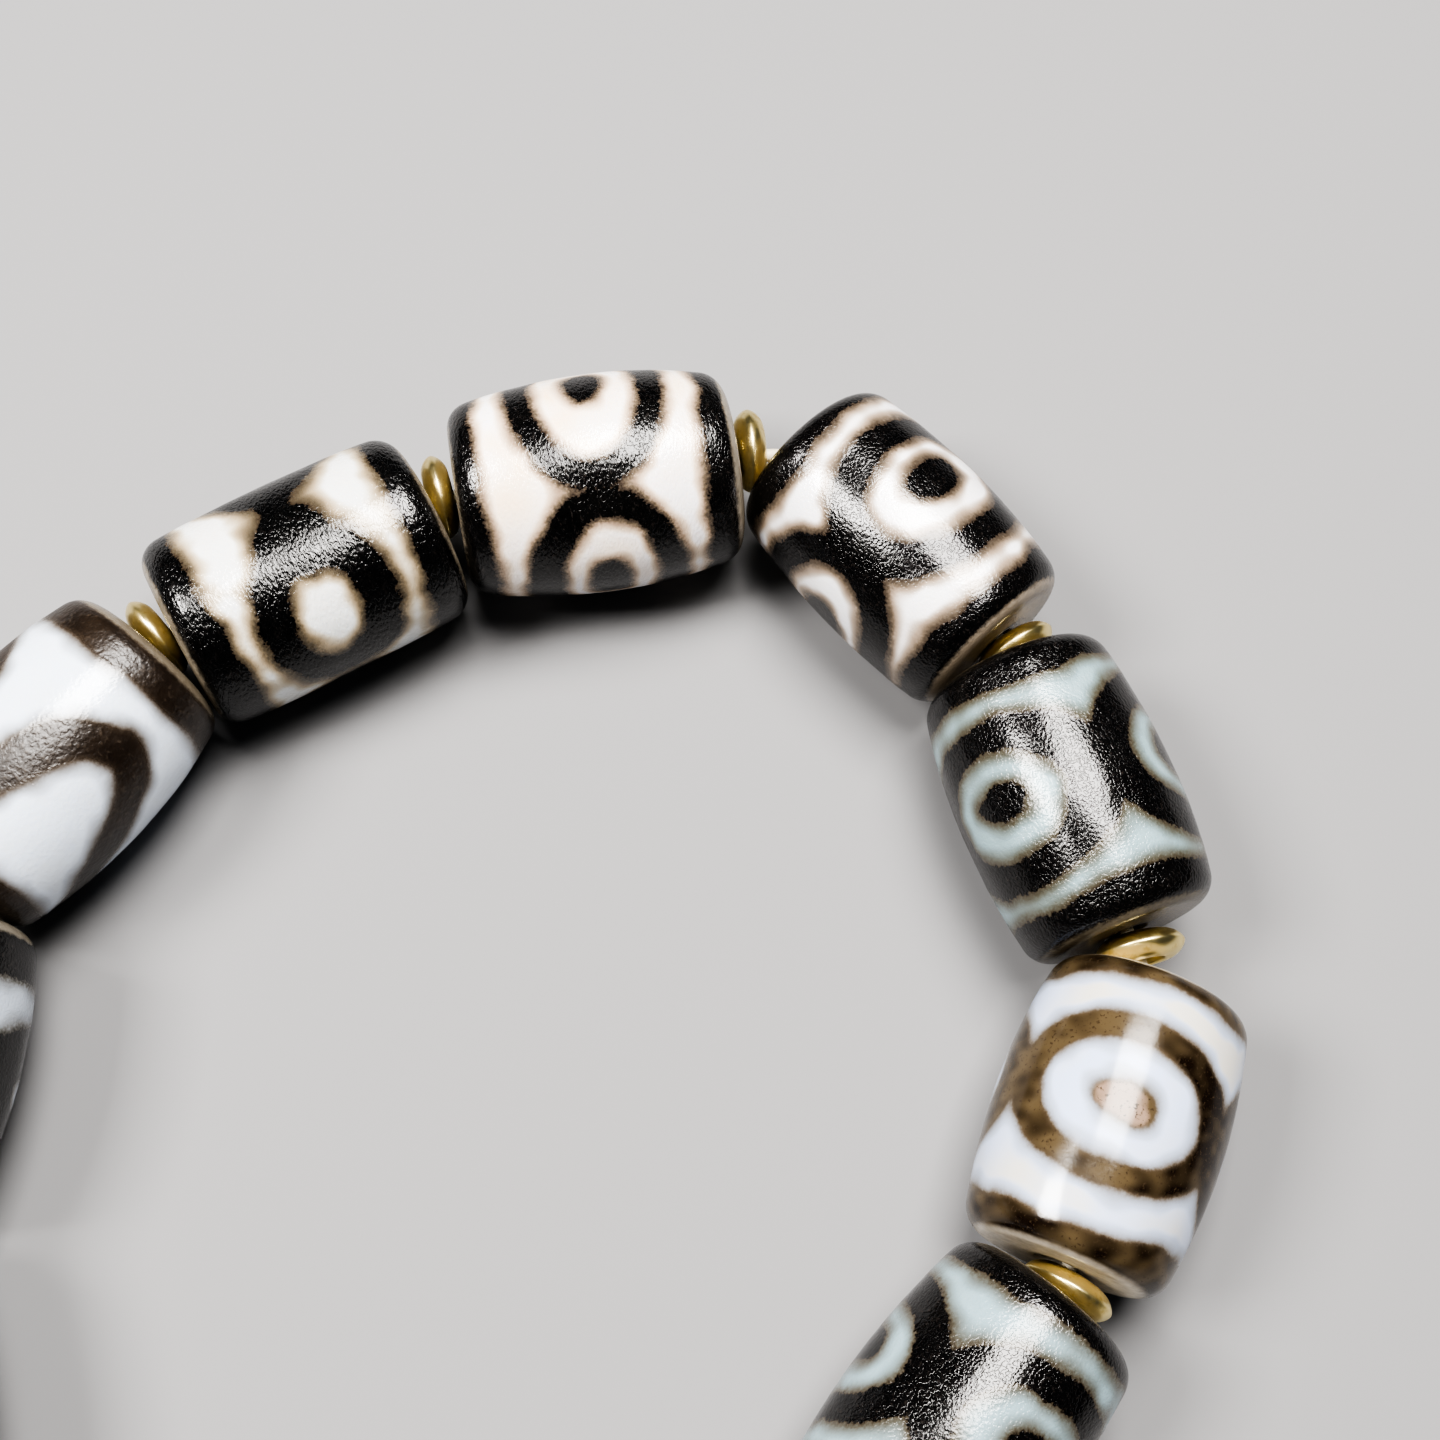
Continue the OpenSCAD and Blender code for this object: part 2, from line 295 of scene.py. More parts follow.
def smoothLine(points, steps=5):
    # Catmull-Rom curve: from b to c, with a and d beside them, it is half of
    # 2b + (c - a)t + (2a - 5b + 4c - d)t^2 + (3b - a - 3c + d)t^3
    p = np.array([2 * points[0] - points[1], *points, 2 * points[-1] - points[-2]])
    t = np.linspace(0, 1, steps, endpoint=False)[:, None]
    spans = [0.5 * (2 * b + (c - a) * t + (2 * a - 5 * b + 4 * c - d) * t ** 2
                    + (3 * b - a - 3 * c + d) * t ** 3) for a, b, c, d in zip(p, p[1:], p[2:], p[3:])]
    return np.vstack([*spans, p[-2:-1]])


def strokeEdge(x, degrees, points, perDegree):
    # distance to the nearest stretch of a smooth line, less its half width there
    line = smoothLine(np.array(points, float))
    best = np.full(x.shape, lineWork["none"])
    for (x0, d0, w0), (x1, d1, w1) in zip(line, line[1:]):
        dx, dy = x1 - x0, (d1 - d0) * perDegree
        px, py = x - x0, wrapped(degrees - d0) * perDegree
        t = np.clip((px * dx + py * dy) / (dx * dx + dy * dy), 0, 1)
        best = np.minimum(best, np.hypot(px - t * dx, py - t * dy) - w0 - t * (w1 - w0))
    return best


def inkOf(chart, along, degrees, seed):
    # distance in mm to the nearest edge of a dark line, below 0 in it: the joined stripes, rings,
    # dots and strokes of a chart
    perDegree = np.radians(1) * lineWork["radius"]
    turn = np.radians(degrees)
    unrolled = np.stack([along, lineWork["radius"] * np.cos(turn), lineWork["radius"] * np.sin(turn)], -1)
    along = along + lineWork["wander"] * ripple(unrolled, lineWork["wanderSize"], seed)
    degrees = degrees + lineWork["wander"] / perDegree * ripple(unrolled, lineWork["wanderSize"], seed + 1)

    def oval(middle, half, start, end):
        x, y = along - (start + end) / 2, wrapped(degrees - middle) * perDegree
        return ovalEdge(x, y, (end - start) / 2, half)

    lines = np.full(along.shape, lineWork["none"])
    for outer, inner, *dots in chart["eyes"]:
        lines = joined(lines, np.maximum(oval(*outer), -oval(*inner)), lineWork["join"])
        for dot in dots:
            lines = np.minimum(lines, oval(*dot))
    for points in chart.get("strokes", []):
        lines = joined(lines, strokeEdge(along, degrees, points, perDegree), lineWork["strokeJoin"])
    near = np.maximum(along - roundCurve(chart["near"], degrees), chart["ends"][0] - along)
    far = np.maximum(roundCurve(chart["far"], degrees) - along, along - chart["ends"][1])
    return joined(np.minimum(near, far), lines, lineWork["strokeJoin"])


def spotsOf(spots, along, degrees):
    # soft round spots added up, each its strength times e^-(distance / reach)^2
    perDegree = np.radians(1) * lineWork["radius"]
    value = np.zeros(along.shape)
    for x, d, reach, strength in spots:
        away = np.hypot(along - x, wrapped(degrees - d) * perDegree)
        value += strength * np.exp(-(away / reach) ** 2)
    return value


# Agate beads

beadShape = {
    "around": 184,          # faces round a bead
    "side": 104,            # faces along its side
    "shoulder": 12,
    "face": 9,
    "lip": 4,
    "bore": 6,
    "shoulderRadius": 1.6,  # mm
    "clearOfEnd": 1.3,      # shoulders from the ends, where the side's bow is read
    "lipRadius": 0.22,
    "ground": 0.10,         # mm, unevenness from grinding by hand
    "groundSize": 11.0,
    "dents": 0.022,
    "dentSize": 2.6,
    "evenWithin": (2.0, 4.5),     # mm from the bore's middle, where the unevenness starts and is full
    "etched": 0.012,              # mm, how far the dark lines lie below the white
    "etchedEdge": (-0.15, 0.25),  # mm into a line, where it starts to sink and is full depth
}
beadTint = {
    # ripples as (share, size in mm, seed)
    "worn": 0.25, "wornPatches": [(0.14, 2.4, 300), (0.10, 1.0, 400)],
    "stained": 0.9, "stainPatches": [(0.15, 1.8, 500)], "stainRange": (0.4, 2.5),
    "clouded": 0.5, "cloudPatches": [(1.0, 6.0, 600), (0.5, 2.4, 700)], "cloudRange": (-1, 1.4),
    "boreShade": (0.9, 0.05),     # mm from the bore's wall, where its shade starts and is full
}


def barrelOutline(seat, shape):
    # half outline of a bead from the middle of its side to the middle of its bore, then the same
    # mirrored. Side: r = middle - bow s^2. Shoulder and lip: quarter circles tangent to both.
    along, radius = seat["along"], seat["radius"]
    half, middleR, boreR = along.max(), radius.max(), radius.min()
    round0, lip = shape["shoulderRadius"], shape["lipRadius"]
    onSide = (np.abs(along) < half - shape["clearOfEnd"] * round0) & (radius > 2 * boreR)
    bow = -np.polyfit(along[onSide] ** 2, radius[onSide], 1)[0]
    centreS = half - round0
    lean = np.arctan(2 * bow * centreS)
    endS = centreS + round0 * np.sin(lean)
    centreR = middleR - bow * endS ** 2 - round0 * np.cos(lean)
    side = np.linspace(0, endS, shape["side"] // 2, endpoint=False)
    bend = np.linspace(lean, np.pi / 2, shape["shoulder"], endpoint=False)
    flat = np.linspace(centreR, boreR + lip, shape["face"], endpoint=False)
    curl = np.linspace(0, np.pi / 2, shape["lip"], endpoint=False)
    bore = np.linspace(half - lip, 0, shape["bore"], endpoint=False)
    s = np.concatenate([side, centreS + round0 * np.sin(bend), np.full(len(flat), half),
                        half - lip + lip * np.cos(curl), bore, [0]])
    r = np.concatenate([middleR - bow * side ** 2, centreR + round0 * np.cos(bend), flat,
                        boreR + lip - lip * np.sin(curl), np.full(len(bore), boreR), [boreR]])
    return np.concatenate([s, -s[-2:0:-1]]), np.concatenate([r, r[-2:0:-1]])


def makeBead(k):
    # the outline turned round the bore, less what grinding and etching take off
    seat, chart, shape, tint = beadSeats[k], charts[k], beadShape, beadTint
    s, r = barrelOutline(seat, shape)
    turn = np.linspace(0, 2 * np.pi, shape["around"], endpoint=False)
    along, radius = s[:, None] + 0 * turn, r[:, None] + 0 * turn
    turns = turn + 0 * along
    degrees = wrapped(np.degrees(turns))
    ink = inkOf(chart, along, degrees, 10 * k)
    ownSeat = {"middle": 0, "ahead": np.array([1.0, 0, 0]), "outward": np.array([0, 1.0, 0])}
    local = placed(ownSeat, along, radius, turns)
    uneven = -shape["ground"] * dimples(local, shape["groundSize"], 100 + k)
    uneven -= shape["dents"] * dimples(local, shape["dentSize"], 200 + k)
    uneven -= chart.get("etched", shape["etched"]) * softRamp(-ink, *shape["etchedEdge"])
    uneven *= softRamp(radius, *shape["evenWithin"])
    bead = closedGrid("agateBead%02d" % (k + 1), placed(seat, along, radius + uneven, turns))

    def spots(kind):
        return spotsOf(chart.get(kind, []), along, degrees)

    worn = tint["worn"] + patches(local, tint["wornPatches"], k) + spots("faded")
    stained = tint["stained"] + patches(local, tint["stainPatches"], k) + spots("stains")
    cloud = tint["clouded"] * softRamp(patches(local, tint["cloudPatches"], k), *tint["cloudRange"])
    wall = r.min()
    shadeStart, shadeFull = tint["boreShade"]
    writeAttribute(bead, "ink", ink)
    writeAttribute(bead, "rim", np.where(along < 0, chart["ends"][0] - along, along - chart["ends"][1]))
    writeAttribute(bead, "worn", np.clip(worn, 0, 1))
    writeAttribute(bead, "unstained", 1 / np.clip(stained, *tint["stainRange"]))
    writeAttribute(bead, "cloud", np.clip(cloud + spots("clouds"), 0, 1))
    # mask of the painted shade in and round the bore
    writeAttribute(bead, "inBore", softRamp(-radius, -wall - shadeStart, -wall - shadeFull))
    return bead


beads = [makeBead(k) for k in range(beadCount)]
print("beads made")


# Brass spacers: an oval section, with a hole whose edge is rounded

spacerShape = {
    "around": 96, "rim": 36, "lip": 6,
    "edge": 1.3,               # 1 is an oval, and more is more like a lens
    "lipRadius": 0.25,         # mm
    "thicker": {3: 1.12},      # the one beside the bare thread
    "uneven": 0.006,           # mm, from hammering
    "unevenSize": 1.3,
}


def makeSpacer(k):
    # section: x = start + wide cos a, y = thick |sin a|^edge, from the hole to the rim and back
    seat, shape = spacerSeats[k], spacerShape
    rimR, boreR = seat["radius"].max(), seat["radius"].min()
    thick, lip = seat["along"].max() * shape["thicker"].get(k, 1), shape["lipRadius"]
    angle = np.linspace(-np.pi / 2, np.pi / 2, shape["rim"])
    start = boreR + lip
    x = start + (rimR - start) * np.cos(angle)
    y = thick * np.sign(angle) * np.abs(np.sin(angle)) ** shape["edge"]
    curl = np.linspace(np.pi / 2, 0, shape["lip"], endpoint=False)[1:]
    x = np.concatenate([x, start - lip * np.cos(curl), start - lip * np.cos(curl[::-1])])
    y = np.concatenate([y, thick - lip + lip * np.sin(curl), lip - thick - lip * np.sin(curl[::-1])])
    turn = np.linspace(0, 2 * np.pi, shape["around"], endpoint=False)
    along, radius = y[:, None] + 0 * turn, x[:, None] + 0 * turn
    places = placed(seat, along, radius, turn + 0 * along)
    dip = shape["uneven"] * dimples(places, shape["unevenSize"], 800 + k) * (radius > boreR + lip)
    return closedGrid("brassSpacer%02d" % (k + 1), placed(seat, along, radius - dip, turn + 0 * along))


spacers = [makeSpacer(k) for k in range(beadCount)]
print("spacers made")


# Elastic thread: a twisted strand that follows the bores, and bends outward in each gap

thread = {
    "radius": 0.4,         # mm
    "turnIn": 2.5,         # mm inside a bead where the bend starts
    "lead": 0.5,           # mm outside a bead that the bend is drawn to
    "drawnOut": (0.8, 0.9, 1.0, 0.55, 0.9, 0.1, 0.8, 0.7, 0.5, 0.3, 0.3, 0.9),  # mm, gap by gap
    "bendRings": 26,
    "sides": 30,
    "strands": 5,
    "lay": 4.0,            # mm for a whole twist
    "groove": 0.09,        # share of the radius
}


def threadRoute():
    # in each gap (1 - t)^3 a + 3t(1 - t)^2 b + 3t^2(1 - t) c + t^3 d, from bore to bore, with its two
    # leads b and c drawn outward
    spans = []
    t = np.linspace(0, 1, thread["bendRings"])[:, None]
    for k, out in enumerate(thread["drawnOut"]):
        here, there = beadSeats[k], beadSeats[(k + 1) % beadCount]
        end, start = here["along"].max(), -there["along"].max()
        a = here["middle"] + (end - thread["turnIn"]) * here["ahead"]
        b = here["middle"] + (end + thread["lead"]) * here["ahead"] + out * here["outward"]
        c = there["middle"] + (start - thread["lead"]) * there["ahead"] + out * there["outward"]
        d = there["middle"] + (start + thread["turnIn"]) * there["ahead"]
        spans.append((1 - t) ** 3 * a + 3 * t * (1 - t) ** 2 * b + 3 * t ** 2 * (1 - t) * c + t ** 3 * d)
    return np.vstack(spans)


def makeThread():
    # section: r = radius (1 - groove + groove |cos(strands / 2 (turn - twist))|)
    route = threadRoute()
    way = np.roll(route, -1, axis=0) - np.roll(route, 1, axis=0)
    way /= np.linalg.norm(way, axis=1, keepdims=True)
    side = np.cross([0, 0, 1.0], way)
    side /= np.linalg.norm(side, axis=1, keepdims=True)
    top = np.cross(way, side)
    step = np.linalg.norm(np.roll(route, -1, axis=0) - route, axis=1)
    walked = np.concatenate([[0], np.cumsum(step)[:-1]])
    twists = round(step.sum() / thread["lay"])
    turn = np.linspace(0, 2 * np.pi, thread["sides"], endpoint=False)
    twist = 2 * np.pi * twists * walked[:, None] / step.sum()
    ridge = np.abs(np.cos(thread["strands"] / 2 * (turn - twist)))
    r = thread["radius"] * (1 - thread["groove"] + thread["groove"] * ridge)[..., None]
    out = np.cos(turn)[:, None] * side[:, None] + np.sin(turn)[:, None] * top[:, None]
    return closedGrid("elasticThread", route[:, None] + r * out)


threadPiece = makeThread()
print("thread made")


# Finishes

class Wire:
    # an output socket that can be used in plain sums
    def __init__(self, finish, socket):
        self.finish, self.socket = finish, socket

    def calc(self, operation, first, second):
        return self.finish.node("Math", {"operation": operation}, {0: first, 1: second})

    def __add__(self, other):
        return self.calc("ADD", self, other)

    def __sub__(self, other):
        return self.calc("SUBTRACT", self, other)

    def __rsub__(self, other):
        return self.calc("SUBTRACT", other, self)

    def __mul__(self, other):
        return self.calc("MULTIPLY", self, other)

    __radd__, __rmul__ = __add__, __mul__


class Finish:
    # a material whose nodes are added one by one
    def __init__(self, name):
        self.material = bpy.data.materials.new(name)
        self.material.use_nodes = True
        self.tree = self.material.node_tree
        self.tree.nodes.clear()

    def node(self, kind, settings=None, sockets=None, output=0):
        # stops are (place from 0 to 1, colour)
        made = self.tree.nodes.new("ShaderNode" + kind)
        for key, value in (settings or {}).items():
            if key == "stops":
                bar = made.color_ramp.elements
                while len(bar) < len(value):
                    bar.new(1.0)
                for stop, (where, colour) in zip(bar, value):
                    stop.position, stop.color = where, (*colour, 1)
            else:
                setattr(made, key, value)
        for key, value in (sockets or {}).items():
            if isinstance(value, Wire):
                self.tree.links.new(value.socket, made.inputs[key])
            else:
                made.inputs[key].default_value = value
        return Wire(self, made.outputs[output]) if made.outputs else None

    def attribute(self, name):
        return self.node("Attribute", {"attribute_name": name}, output="Fac")

    def place(self):
        return self.node("TexCoord", output="Object")

    def noise(self, place, size, detail, roughness=0.5):
        # size in mm of the lumps
        sockets = {"Vector": place, "Scale": 1 / (size * mm), "Detail": detail, "Roughness": roughness}
        return self.node("TexNoise", {"noise_dimensions": "3D"}, sockets, "Fac")

    def ease(self, value, start, end):
        # 0 at start, 1 at end, and 3t^2 - 2t^3 between them
        sockets = {"Value": value, "From Min": start, "From Max": end}
        return self.node("MapRange", {"interpolation_type": "SMOOTHSTEP"}, sockets, "Result")

    def mix(self, share, first, second):
        # first colour at share 0, second at share 1
        colours = {6: first, 7: second}
        for key, value in colours.items():
            if not isinstance(value, Wire):
                colours[key] = (*value, 1)
        return self.node("Mix", {"data_type": "RGBA", "clamp_factor": True}, {0: share, **colours}, 2)

    def blend(self, share, first, second):
        # the same for numbers: first + share (second - first)
        return first + share * (second - first)

    def ramp(self, value, stops):
        return self.node("ValToRGB", {"stops": stops}, {"Fac": value}, "Color")

    def bump(self, height):
        # height in mm
        return self.node("Bump", {}, {"Height": height, "Distance": mm, "Strength": 1.0}, "Normal")

    def surface(self, **sockets):
        named = {key.replace("_", " "): value for key, value in sockets.items()}
        shader = self.node("BsdfPrincipled", {}, named)
        self.node("OutputMaterial", {}, {"Surface": shader})
        return self.material


# Each bead's own stone: its white and the cloud in it, its ink, worn ink and the pale specks in it,
# which are partly its grain and partly painted glints, the stain that fades out from the ink, as (mm from
# the ink, colour), and the bare stone at the ends
stones = {
    "plain": {
        "white": (0.90, 0.89, 0.91), "cloud": (0.83, 0.81, 0.79),
        "ink": (0.0026, 0.0024, 0.0025), "worn": (0.0060, 0.0052, 0.0050),
        "faded": (0.0080, 0.0070, 0.0066), "speck": (0.024, 0.020, 0.018),
        "stain": [(0.0, (0.040, 0.028, 0.020)), (0.10, (0.075, 0.057, 0.042)),
                  (0.25, (0.099, 0.078, 0.058)), (0.45, (0.180, 0.140, 0.103)),
                  (0.68, (0.36, 0.285, 0.22)), (1.0, (0.63, 0.57, 0.52))],
        "stainWidth": 1.35,    # mm
        "bleed": 0.0,          # mm, how much wider the ink is than its chart
        "ragged": 0.42,        # mm, how far the edges of the ink stray in lumps
        "grain": 0.42,         # mm, the same in small lumps
        "torn": 0.35,          # mm, the same in large lumps
        "soft": 0.025,         # mm, half width of the ink's edge
        "rim": (0.30, 0.25, 0.19), "rimSoft": 0.15, "rimRagged": 0.3,
        "gloss": 0.20, "inkGloss": 0.17,
        "lump": 0.18,          # mm, size of the crackle
        "crackle": 0.017,      # mm, height of its gentle waves in the ink
        "pits": 0.006,         # mm, depth of its sharp little pits
        "whiteCrackle": 0.5,   # share of both in the white
        "stretch": 1.0,        # below 1 the crackle runs round the bead
        "milk": 0.25, "shine": 0.6,
    },
}
stones["spread"] = {**stones["plain"], "white": (0.77, 0.785, 0.78), "cloud": (0.79, 0.77, 0.73),
                    "ink": (0.0018, 0.0018, 0.0018), "worn": (0.0040, 0.0038, 0.0037), "torn": 0.8,
                    "speck": (0.014, 0.012, 0.011), "rim": (0.22, 0.19, 0.145),
                    "stain": [(0.0, (0.038, 0.026, 0.016)), (0.10, (0.068, 0.053, 0.036)),
                              (0.25, (0.101, 0.082, 0.056)), (0.45, (0.182, 0.144, 0.096)),
                              (0.70, (0.37, 0.30, 0.205)), (1.05, (0.58, 0.52, 0.42))],
                    "stainWidth": 1.6, "bleed": 0.06, "stretch": 0.5, "lump": 0.33,
                    "crackle": 0.040, "pits": 0.012, "inkGloss": 0.20}
stones["cream"] = {**stones["plain"], "white": (0.95, 0.905, 0.90), "cloud": (0.97, 0.76, 0.55),
                   "ink": (0.0022, 0.0020, 0.0020), "worn": (0.0060, 0.0054, 0.0050),
                   "stain": [(0.0, (0.042, 0.030, 0.021)), (0.10, (0.078, 0.060, 0.046)),
                             (0.25, (0.150, 0.117, 0.083)), (0.45, (0.37, 0.275, 0.20)),
                             (0.68, (0.66, 0.53, 0.41)), (0.9, (0.82, 0.70, 0.59))],
                   "stainWidth": 1.15, "bleed": 0.04, "stretch": 0.5, "lump": 0.30,
                   "crackle": 0.028, "pits": 0.010, "rim": (0.24, 0.21, 0.165), "inkGloss": 0.19}
stones["ice"] = {**stones["plain"], "white": (0.28, 0.39, 0.43), "cloud": (0.31, 0.40, 0.43),
                 "stain": [(0.0, (0.040, 0.029, 0.018)), (0.10, (0.072, 0.062, 0.045)),
                           (0.25, (0.098, 0.094, 0.076)), (0.45, (0.142, 0.158, 0.148)),
                           (0.75, (0.205, 0.262, 0.272)), (1.05, (0.250, 0.338, 0.365))],
                 "stainWidth": 1.5, "rim": (0.22, 0.195, 0.155), "soft": 0.05,
                 "crackle": 0.016, "pits": 0.008, "inkGloss": 0.15, "whiteCrackle": 0.8}
stones["dusk"] = {**stones["ice"], "white": (0.29, 0.41, 0.44), "cloud": (0.33, 0.41, 0.43),
                  "rim": (0.12, 0.10, 0.07),
                  "stain": [(0.0, (0.040, 0.029, 0.018)), (0.10, (0.074, 0.063, 0.044)),
                            (0.25, (0.090, 0.084, 0.062)), (0.45, (0.124, 0.132, 0.113)),
                            (0.75, (0.190, 0.240, 0.236)), (1.05, (0.250, 0.338, 0.360))]}
stones["mist"] = {**stones["ice"], "white": (0.50, 0.56, 0.64), "cloud": (0.50, 0.54, 0.60),
                  "stain": [(0.0, (0.034, 0.029, 0.023)), (0.10, (0.075, 0.070, 0.060)),
                            (0.25, (0.140, 0.138, 0.130)), (0.45, (0.25, 0.262, 0.275)),
                            (0.75, (0.37, 0.405, 0.45)), (1.05, (0.45, 0.50, 0.57))]}
stones["brown"] = {**stones["plain"], "white": (0.72, 0.79, 0.89), "cloud": (0.69, 0.73, 0.78),
                   "ink": (0.0150, 0.0092, 0.0056), "worn": (0.026, 0.0165, 0.0100),
                   "faded": (0.036, 0.023, 0.0140), "speck": (0.050, 0.036, 0.025),
                   "stain": [(0.0, (0.064, 0.047, 0.033)), (0.10, (0.108, 0.090, 0.073)),
                             (0.25, (0.185, 0.172, 0.162)), (0.45, (0.310, 0.320, 0.335)),
                             (0.70, (0.47, 0.505, 0.56)), (1.0, (0.62, 0.675, 0.76))],
                   "stainWidth": 1.4, "bleed": 0.03, "rim": (0.16, 0.135, 0.10),
                   "soft": 0.32, "ragged": 0.16, "grain": 0.14, "torn": 0.16,
                   "inkGloss": 0.34, "lump": 0.28, "crackle": 0.028, "pits": 0.003}
stones["milk"] = {**stones["brown"], "white": (0.52, 0.60, 0.79), "cloud": (0.62, 0.60, 0.55),
                  "ink": (0.0140, 0.0078, 0.0040), "worn": (0.105, 0.077, 0.042),
                  "faded": (0.29, 0.205, 0.150), "speck": (0.056, 0.038, 0.022),
                  "stain": [(0.0, (0.092, 0.069, 0.045)), (0.10, (0.150, 0.125, 0.098)),
                            (0.22, (0.215, 0.205, 0.200)), (0.38, (0.300, 0.320, 0.360)),
                            (0.60, (0.385, 0.430, 0.525)), (0.9, (0.46, 0.525, 0.66))],
                  "stainWidth": 1.15, "bleed": 0.0, "rim": (0.86, 0.78, 0.65), "rimSoft": 0.2,
                  "rimRagged": 0.06, "soft": 0.20, "ragged": 0.26, "grain": 0.12, "torn": 0.25,
                  "gloss": 0.16, "inkGloss": 0.17, "lump": 0.17,
                  "crackle": 0.0020, "pits": 0.0004, "whiteCrackle": 0.2, "shine": 0.42}
stoneOfBead = ["mist", "brown", "spread", "cream", "plain", "dusk", "milk", "ice",
               "plain", "milk", "plain", "ice"]


agateGrain = {
    "ragged": (0.55, 3, 0.68),    # lumps: size in mm, detail and roughness
    "grain": (0.17, 1),
    "torn": (1.4, 1),
    "crackle": (1.6, 0.5),        # detail and roughness
    "frayed": (0.1, 0.7),         # mm from the ink, from a stain as frayed as the ink to a smooth one
    "stainEnd": (1.0, 0.6),       # share of the stain's width, from the clouded white to the stain
    "worn": (0.5, 0.8),           # from 0, fresh ink, to 1, faded ink, the stretch of worn ink
    # pale specks on the crackle's crests: partly the ink's grain, partly painted glints
    "speckAndGlintHeights": (0.56, 0.74),       # heights of the crackle, from bare ink to a pale speck
    "pits": (0.42, 0.53),         # and from the bottom of a pit to its edge
    "crackled": (0.25, -0.1),     # mm from the ink, from the white's crackle to the ink's
    "bare": 1.15,                 # how much brighter the stone at the ends is in patches
    "barePatches": (0.3, 0.7),
    # painted shade in the bore: how dark a copy of the bare stone it is, and how much of it is laid on
    "boreShade": 0.35, "boreShare": 0.85,
    "glossWaver": 0.1, "inkGlossWaver": 0.16,
    "bending": 1.54,              # index of refraction
    "milkRadius": (1.0, 0.85, 0.7),
    "milkDepth": 0.6,             # mm
}


def agate(name, stone, seat):
    f, grain = Finish(name), agateGrain
    place, ink = f.place(), f.attribute("ink")
    heading = np.arctan2(seat["ahead"][1], seat["ahead"][0])
    turned = {"Vector": place, "Rotation": (0, 0, heading), "Scale": (stone["stretch"], 1, 1)}
    drawn = f.node("Mapping", {"vector_type": "TEXTURE"}, turned, "Vector")
    ragged, torn = f.noise(place, *grain["ragged"]), f.noise(place, *grain["torn"])
    crackle, small = f.noise(drawn, stone["lump"], *grain["crackle"]), f.noise(place, *grain["grain"])

    # the ink's edge, wandering in large lumps and frayed by smaller ones
    smooth = ink + (torn - 0.5) * stone["torn"] - stone["bleed"]
    edge = smooth + (ragged - 0.5) * stone["ragged"] + (small - 0.5) * stone["grain"]
    dark = f.ease(edge, stone["soft"], -stone["soft"])

    # white with clouds, the stain beside the ink, then the ink with its worn places and pale specks, which
    # are partly grain and partly painted glints
    white = f.mix(f.attribute("cloud"), stone["white"], stone["cloud"])
    width = stone["stainWidth"]
    away = f.blend(f.ease(smooth, *grain["frayed"]), edge, smooth)
    reach = away * (1 / width) * f.attribute("unstained")
    fading = [(far / width, shade) for far, shade in stone["stain"]]
    stain = f.ramp(reach, [*fading, (1.0, stone["white"])])
    colour = f.mix(f.ease(reach, *grain["stainEnd"]), white, stain)
    wornStart, wornEnd = grain["worn"]
    wear = [(0.0, stone["ink"]), (wornStart, stone["worn"]), (wornEnd, stone["worn"]), (1.0, stone["faded"])]
    inkColour = f.ramp(f.attribute("worn"), wear)
    # pale specks where the crackle stands highest: partly grain, partly painted glints
    inkColour = f.mix(f.ease(crackle, *grain["speckAndGlintHeights"]), inkColour, stone["speck"])
    colour = f.mix(dark, colour, inkColour)

    # bare stone at the ends, and painted shade in and round the bore
    rim = f.attribute("rim") + (ragged - 0.5) * stone["rimRagged"]
    rim = f.ease(rim, -stone["rimSoft"], stone["rimSoft"])
    bare = tuple(grain["bare"] * part for part in stone["rim"])
    colour = f.mix(rim, colour, f.mix(f.ease(ragged, *grain["barePatches"]), stone["rim"], bare))
    # painted shade: the bare stone darkened in and round the bore
    shaded = tuple(grain["boreShade"] * part for part in stone["rim"])
    colour = f.mix(f.attribute("inBore") * grain["boreShare"], colour, shaded)

    # crackle in the ink, and less of it in the white
    height = crackle * stone["crackle"] + f.ease(crackle, *grain["pits"]) * stone["pits"]
    inWhite = stone["whiteCrackle"]
    height = height * (f.ease(ink, *grain["crackled"]) * (1 - inWhite) + inWhite)
    rough = f.blend(dark, stone["gloss"] + (ragged - 0.5) * grain["glossWaver"],
                    stone["inkGloss"] + (torn - 0.5) * grain["inkGlossWaver"])
    return f.surface(Base_Color=colour, Roughness=rough, Normal=f.bump(height), IOR=grain["bending"],
                     Specular_IOR_Level=stone["shine"], Subsurface_Weight=stone["milk"],
                     Subsurface_Radius=grain["milkRadius"], Subsurface_Scale=grain["milkDepth"] * mm)


brassFinish = {
    "patches": (0.8, 3, 0.6),     # size in mm, detail and roughness
    "bright": (0.88, 0.74, 0.37), "dull": (0.72, 0.57, 0.23), "dullPatches": (0.52, 0.72),
    "gloss": 0.29, "worn": 0.12, "wornPatches": (0.42, 0.7),
    "dents": 0.006,               # mm
}


def polishedBrass():
    # bright, with patches that are duller and rougher
    f, brass = Finish("polishedBrass"), brassFinish
    wear = f.noise(f.place(), *brass["patches"])
    colour = f.mix(f.ease(wear, *brass["dullPatches"]), brass["bright"], brass["dull"])
    rough = brass["gloss"] + f.ease(wear, *brass["wornPatches"]) * brass["worn"]
    return f.surface(Base_Color=colour, Roughness=rough, Metallic=1.0, Normal=f.bump(wear * brass["dents"]))


fibreFinish = {
    "fuzz": (0.2, 3),             # size in mm, and detail
    "pale": (0.86, 0.80, 0.66), "deep": (0.70, 0.63, 0.48),
    "gloss": 0.5,
    "fuzzHeight": 0.03,           # mm
    "milk": 0.3, "milkRadius": (1.0, 0.9, 0.75),
    "milkDepth": 0.4,             # mm
}


